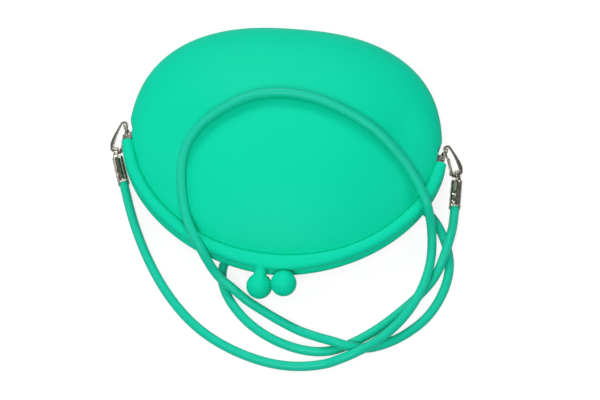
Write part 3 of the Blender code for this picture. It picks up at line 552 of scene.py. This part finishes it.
for end, label in ((-1, "left"), (1, "right")):
    bar = bar_place * (end, 1.0, 1.0)
    _, heading, _ = clip_places[label]
    turn = Matrix.Rotation(math.radians(heading), 3, "Z") @ Matrix.Rotation(hook_tilt, 3, "X")
    points, faces = hook_body()
    points = placed(points, end, turn, bar)
    body = surface(f"{label}_stamped_hook", points, faces, nickel, flip=end < 0, sharp=50)
    fitted(body, f"{label}_snap_hook", f"{label}_clip")
    points, faces = gate_wire()
    wire = surface(f"{label}_wire_gate", placed(points, end, turn, bar), faces, nickel, flip=end < 0)
    fitted(wire, f"{label}_hook_gate", f"{label}_gate")


# The crimp ends: nickel-plated sheet folded round each end of the cord into a soft square barrel.
# Its two edges meet in a seam along the top, two press marks hold the cord, and the mouth is
# rolled. At the other end a narrow strap of the same sheet loops round the hook's bottom bar.

barrel_half = 3.6              # half the barrel's width
barrel_drop = -1.7             # middle of the barrel below the middle of the eye
barrel_sides = 96
barrel_squareness = 0.36       # 1 is round, 0 is square
seam_side = 1.3                # seam and press marks, each side of the middle of the barrel's top
strap_thick, strap_wide = 0.76, 2.8


def barrel(mark_side):
    """Rows (place along the barrel, half width) from the closed end over the outside to the rolled
    mouth and back down the round bore. The outside is |cos|^n, |sin|^n of its half width, less a
    low roof on top, the seam's groove and the press marks, and plus three nubs on one side."""
    closed_end = [(-4.2, 0.03), (-4.2, 1.5), (-4.22, 2.6), (-4.35, 3.1), (-4.6, 3.4), (-5.0, 3.55)]
    rolled_mouth = [(-21.7, 3.62), (-22.1, 3.7), (-22.5, 3.74), (-22.8, 3.7), (-23.0, 3.55)]
    straight = np.column_stack([np.linspace(-5.6, -21.3, 64), np.full(64, barrel_half)])
    along, half = np.vstack([closed_end, straight, rolled_mouth]).T
    bore = np.array([
        (-23.0, 3.3), (-22.8, 3.15), (-22.4, 3.1), (-15.0, 3.1), (-8.7, 3.1), (-8.5, 2.9), (-8.5, 0.03),
    ])
    a = np.arange(barrel_sides) * (2.0 * math.pi / barrel_sides)
    c, s = np.cos(a), np.sin(a)
    u = half[:, None] * np.sign(c) * np.abs(c) ** barrel_squareness
    v = half[:, None] * np.sign(s) * np.abs(s) ** barrel_squareness
    on_top = ease(v / 2.0) * ease((-4.9 - along) / 0.8)[:, None]
    v = v - on_top * np.abs(u) / barrel_half * ease((along + 22.4) / 1.5)[:, None]
    seam = np.exp(-(((u - mark_side * seam_side) / 0.28) ** 2))
    v = v - 0.4 * on_top * seam * ease((along + 21.8) / 0.6)[:, None]
    for place in (-19.0, -14.0):
        press = np.exp(-(((along - place) / 0.8)[:, None] ** 2) - ((u + mark_side * seam_side) / 1.1) ** 2)
        v = v - 0.35 * press * on_top
    for place in (-20.4, -17.9, -12.6):
        nub = np.exp(-(((along - place) / 0.55)[:, None] ** 2) - ((v - 0.9) / 0.8) ** 2)
        u = u - mark_side * 0.3 * nub * ease(-mark_side * u / 2.0)
    outer = np.stack([u, np.broadcast_to(along[:, None], u.shape), v + barrel_drop], -1)
    bore_along = np.broadcast_to(bore[:, :1], (len(bore), barrel_sides))
    inner = np.stack([bore[:, 1:] * c, bore_along, bore[:, 1:] * s + barrel_drop], -1)
    return tube(np.concatenate([outer, inner]))


def eye_strap(turn):
    """A flat strap from the barrel's end, once round the hook's bar and back, square to its pin."""
    flat = np.vstack([
        [(-5.6, -0.3), (-4.4, 0.2), (-3.2, 0.9)], arc((0.0, 0.0), 2.4, 148.0, -138.0, 22),
        [(-3.0, -2.1), (-4.4, -2.5), (-5.6, -2.6)],
    ])
    rows, _ = flowing(flat, 0.35)
    forward, upward = np.array([-math.sin(turn), math.cos(turn), 0.0]), np.array([0.0, 0.0, 1.0])
    path = rows[:, :1] * forward + rows[:, 1:] * upward
    section = rounded(strap_thick / 2.0, strap_wide / 2.0, 5.0, 24)
    return carried(path, section, (math.cos(turn), math.sin(turn), 0.0))


for end, label in ((-1, "left"), (1, "right")):
    eye, hook_heading, heading = clip_places[label]
    turn = Matrix.Rotation(math.radians(heading), 3, "Z")
    points, faces = together(barrel(1), eye_strap(math.radians((hook_heading - heading) / 2.0)))
    crimp = surface(f"{label}_crimped_barrel", placed(points, 1, turn, eye), faces, nickel, sharp=45)
    fitted(crimp, f"{label}_crimp_end", f"{label}_clip")


# The strap: one round cord of smooth silicone, 5.8 mm thick and about 1.25 m long. From the left
# crimp it loops round in front, up over the pouch, down across the mouth, round under the purse
# and back to the right crimp. It is made in stretches; the two that lie on the back half move with it.

cord_finish = finish_material(
    "green_silicone_cord", (0.006, 0.58, 0.37), (0.009, 0.64, 0.41), (0.32, 0.44), 0.0,
    clouds=40.0, grain=1500.0, share=0.8, bump=(0.1, 0.0001), Specular_IOR_Level=0.12,
)
cord_radius = 2.9
cord_step = 2.0                # between two rows of the cord
cord_evenness = 1500.0         # how strongly the bends between the route's points are evened out
crimp_places = 3               # places of the cord inside each crimp
drop_places = 14               # places of the back loop between the pouch and the table
strap_route = {                # in metres, as it lies at rest
    "strap_left_end": [
        (-0.0983, -0.0254, 0.00360), (-0.0953, -0.0338, 0.00320), (-0.0917, -0.0433, 0.00295),
        (-0.0875, -0.0528, 0.00295), (-0.0830, -0.0623, 0.00295),
    ],
    "strap_front_loop": [
        (-0.0770, -0.0731, 0.00295), (-0.0701, -0.0840, 0.00295), (-0.0613, -0.0956, 0.00295),
        (-0.0507, -0.1067, 0.00295), (-0.0379, -0.1168, 0.00295), (-0.0229, -0.1247, 0.00295),
        (-0.0080, -0.1300, 0.00295), (0.0073, -0.1330, 0.00295), (0.0225, -0.1331, 0.00330),
    ],
    "strap_front_rise": [
        (0.0370, -0.1309, 0.00520), (0.0470, -0.1278, 0.00940), (0.0560, -0.1237, 0.01160),
        (0.0645, -0.1174, 0.01040), (0.0730, -0.1092, 0.00900), (0.0815, -0.0991, 0.00900),
        (0.0880, -0.0883, 0.00940), (0.0928, -0.0776, 0.00960), (0.0956, -0.0668, 0.00880),
        (0.0970, -0.0568, 0.00600), (0.0975, -0.0483, 0.00620), (0.0966, -0.0403, 0.01040),
        (0.0948, -0.0338, 0.01740), (0.0922, -0.0284, 0.02460), (0.0884, -0.0218, 0.02740),
    ],
    "strap_over_pouch": [
        (0.0834, -0.0120, 0.02990), (0.0764, -0.0052, 0.03450), (0.0682, 0.0014, 0.03930),
        (0.0587, 0.0099, 0.04360), (0.0436, 0.0177, 0.04710), (0.0275, 0.0246, 0.04900),
        (0.0096, 0.0292, 0.04940), (-0.0062, 0.0295, 0.04940), (-0.0191, 0.0274, 0.04920),
        (-0.0317, 0.0208, 0.04870), (-0.0440, 0.0128, 0.04700), (-0.0538, 0.0032, 0.04390),
        (-0.0596, -0.0074, 0.04040), (-0.0615, -0.0160, 0.03750), (-0.0609, -0.0276, 0.03420),
    ],
    "strap_back_loop": [
        (-0.0592, -0.0381, 0.03050), (-0.0560, -0.0494, 0.02710), (-0.0512, -0.0598, 0.02690),
        (-0.0460, -0.0678, 0.02500), (-0.0410, -0.0738, 0.01960), (-0.0364, -0.0786, 0.01320),
        (-0.0312, -0.0827, 0.00970), (-0.0240, -0.0874, 0.00830), (-0.0140, -0.0932, 0.00360),
        (-0.0020, -0.0998, 0.00305), (0.0090, -0.1056, 0.00305), (0.0200, -0.1104, 0.00350),
        (0.0305, -0.1144, 0.00660), (0.0410, -0.1180, 0.00980), (0.0515, -0.1198, 0.00790),
        (0.0628, -0.1177, 0.00400), (0.0766, -0.1122, 0.00305), (0.0877, -0.1037, 0.00305),
        (0.0976, -0.0937, 0.00295), (0.1046, -0.0802, 0.00295), (0.1086, -0.0668, 0.00295),
        (0.1087, -0.0541, 0.00295), (0.1059, -0.0439, 0.00295), (0.1020, -0.0348, 0.00295),
        (0.0968, -0.0266, 0.00295), (0.0894, -0.0202, 0.00295), (0.0795, -0.0190, 0.00295),
        (0.0660, -0.0262, 0.00295), (0.0495, -0.0403, 0.00295), (0.0330, -0.0492, 0.00295),
        (0.0150, -0.0540, 0.00295), (-0.0030, -0.0550, 0.00295), (-0.0175, -0.0564, 0.00295),
        (-0.0276, -0.0618, 0.00295), (-0.0316, -0.0708, 0.00295), (-0.0312, -0.0803, 0.00295),
        (-0.0276, -0.0893, 0.00295), (-0.0214, -0.0982, 0.00295), (-0.0132, -0.1066, 0.00295),
        (-0.0025, -0.1139, 0.00295), (0.0097, -0.1192, 0.00295), (0.0215, -0.1220, 0.00295),
        (0.0332, -0.1227, 0.00295), (0.0438, -0.1200, 0.00295), (0.0526, -0.1144, 0.00295),
        (0.0623, -0.1088, 0.00295), (0.0716, -0.1006, 0.00295), (0.0805, -0.0920, 0.00295),
        (0.0883, -0.0837, 0.00295), (0.0946, -0.0760, 0.00295), (0.0996, -0.0686, 0.00320),
        (0.1029, -0.0613, 0.00540),
    ],
    "strap_right_end": [
        (0.1053, -0.0544, 0.00890), (0.1072, -0.0466, 0.00970), (0.1089, -0.0388, 0.00780),
        (0.1101, -0.0308, 0.00480), (0.1105, -0.0243, 0.00380),
    ],
}
barrels = {                    # the cord's ends in the two crimps, from the bore's end to the mouth
    "left": ((-0.10495, -0.00595, 0.0037), (-0.10032, -0.01917, 0.0037)),
    "right": ((0.11094, -0.00489, 0.0037), (0.11053, -0.01888, 0.0037)),
}
route = [place for places in strap_route.values() for place in places]
ends = {side: np.linspace(*np.array(places), crimp_places) for side, places in barrels.items()}
counts = [len(places) for places in strap_route.values()]
counts[4:5] = [drop_places, counts[4] - drop_places]
starts = np.cumsum([0] + counts) + crimp_places
starts[3] -= 1                 # the stretch over the pouch begins one place earlier
starts[[0, -1]] = 0, len(route) + 2 * crimp_places - 1
line, first_rows = flowing(np.vstack([ends["left"], route, ends["right"][::-1]]) / MM, cord_step)
rows = first_rows[starts]
still = np.eye(len(line))      # least squares: stay near the route, with small third differences
bending = np.diff(still, 3, axis=0)
line[:, :2] = np.linalg.solve(still + cord_evenness * bending.T @ bending, line[:, :2])
ahead = np.gradient(line, axis=0)
stretch_moves = {              # name: CAD stretch, body, and where it starts and ends
    "strap_left_end": ("strap_left_end", "left_clip", (0.0, -0.066, 0.0), (0.0, -0.021, 0.0)),
    "strap_front_loop": ("strap_front_loop", "back_half", None, None),
    "strap_front_rise": ("strap_front_rise", "front_half", (0.0, -0.124, 0.0), (0.0, -0.030, 0.0)),
    "strap_over_pouch": ("strap_over_pouch", "front_half", (hinge + fold) * MM, (hinge - fold) * MM),
    "strap_drop": ("strap_back_loop", "front_half", (0.050, -0.119, 0.008), (-0.044, -0.070, 0.0215)),
    "strap_back_loop": ("strap_back_loop", "back_half", None, None),
    "strap_right_end": ("strap_right_end", "right_clip", (0.0, -0.052, 0.0), (0.0, -0.021, 0.0)),
}
for number, (name, (node, body, start, end)) in enumerate(stretch_moves.items()):
    part = slice(rows[number], rows[number + 1] + 1)
    path = line[part]
    points, faces = carried(path, rounded(cord_radius, cord_radius, 2.0, 28), along=ahead[part])
    stretch = surface(f"{name}_cord", points, faces, cord_finish, sharp=60)
    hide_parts(node)
    if start is None:
        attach(stretch, body)
    else:
        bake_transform(stretch)


# The studio: a white table, and a grey surround that is darker overhead, which gives the metal its
# contrast. Soft lamps stand behind, in front, on both sides and above, and the strongest two,
# behind and in front, shade the pouch's slopes. The camera has the photograph's place and lens.

def lamp(name, place, size, power):
    """A square soft lamp that looks at the purse."""
    light = bpy.data.lights.new(name, "AREA")
    light.shape = "SQUARE"
    light.size = size
    light.energy = power
    made = bpy.data.objects.new(name, light)
    made.location = place
    made.rotation_euler = (-Vector(place)).to_track_quat("-Z", "Y").to_euler()
    bpy.context.scene.collection.objects.link(made)


lamp("high_lamp", (0.0, -0.2, 1.5), 0.5, 2.5)
lamp("rear_lamp", (-0.25, 1.1, 1.0), 0.6, 7.8)
lamp("front_lamp", (-0.12, -0.95, 1.2), 0.6, 10.8)
lamp("left_lamp", (-1.35, 0.0, 0.75), 0.7, 4.0)
lamp("right_lamp", (1.35, 0.0, 0.75), 0.7, 3.0)

table_top = bpy.data.materials.new("white_table")        # white where it is seen, but dim as a lamp
table_top.use_nodes = True
nodes, links = table_top.node_tree.nodes, table_top.node_tree.links
paper = nodes["Principled BSDF"]
paper.inputs["Base Color"].default_value = (0.25, 0.25, 0.25, 1.0)
paper.inputs["Roughness"].default_value = 0.9
paper.inputs["Specular IOR Level"].default_value = 0.1
paper.inputs["Emission Color"].default_value = (1.0, 1.0, 1.0, 1.0)
rays = nodes.new("ShaderNodeLightPath")
seen = nodes.new("ShaderNodeMath")
seen.operation = "MAXIMUM"
links.new(rays.outputs["Is Camera Ray"], seen.inputs[0])
links.new(rays.outputs["Is Glossy Ray"], seen.inputs[1])
seen_through = nodes.new("ShaderNodeMath")
seen_through.operation = "MAXIMUM"
links.new(seen.outputs["Value"], seen_through.inputs[0])
links.new(rays.outputs["Is Transmission Ray"], seen_through.inputs[1])
lift = nodes.new("ShaderNodeMapRange")
lift.inputs["To Max"].default_value = 0.82
links.new(seen_through.outputs["Value"], lift.inputs["Value"])
links.new(lift.outputs["Result"], paper.inputs["Emission Strength"])
corners = [(-3000, -3000, 0), (3000, -3000, 0), (3000, 3000, 0), (-3000, 3000, 0)]
table = surface("table_top", corners, [(0, 1, 2, 3)], table_top)

world = bpy.data.worlds.new("studio")
bpy.context.scene.world = world
world.use_nodes = True
nodes, links = world.node_tree.nodes, world.node_tree.links
direction = nodes.new("ShaderNodeTexCoord")
height = nodes.new("ShaderNodeVectorMath")       # darkest overhead, behind and a little to the right
height.operation = "DOT_PRODUCT"
height.inputs[1].default_value = (0.15, 0.5, 0.85)
links.new(direction.outputs["Generated"], height.inputs[0])
sky = nodes.new("ShaderNodeValToRGB")
levels = ((0.0, 0.2), (0.3, 0.22), (0.5, 0.2), (0.8, 0.16), (1.0, 0.16))
while len(sky.color_ramp.elements) < len(levels):
    sky.color_ramp.elements.new(0.5)
for stop, (place, level) in zip(sky.color_ramp.elements, levels):
    stop.position = place
    stop.color = (level, level, level, 1.0)
links.new(height.outputs["Value"], sky.inputs["Fac"])
links.new(sky.outputs["Color"], nodes["Background"].inputs["Color"])
bpy.context.scene.view_settings.view_transform = "Standard"

azimuth, elevation, roll = math.radians(4.0), math.radians(64.0), math.radians(0.7)
target, distance = Vector((0.01285, -0.0271, 0.0155)), 1.1
along = math.cos(elevation)
view = Vector((-math.sin(azimuth) * along, math.cos(azimuth) * along, -math.sin(elevation)))
right = view.cross(Vector((0.0, 0.0, 1.0))).normalized()
up = right.cross(view)
right, up = math.cos(roll) * right + math.sin(roll) * up, -math.sin(roll) * right + math.cos(roll) * up
camera_data = bpy.data.cameras.new("camera")
camera_data.lens = 105.19
camera_data.sensor_width = 36.0
camera_data.clip_end = 20.0
camera = bpy.data.objects.new("camera", camera_data)
facing = Matrix((right, up, -view)).transposed().to_4x4()
camera.matrix_world = Matrix.Translation(target - distance * view) @ facing
bpy.context.scene.collection.objects.link(camera)
bpy.context.scene.camera = camera
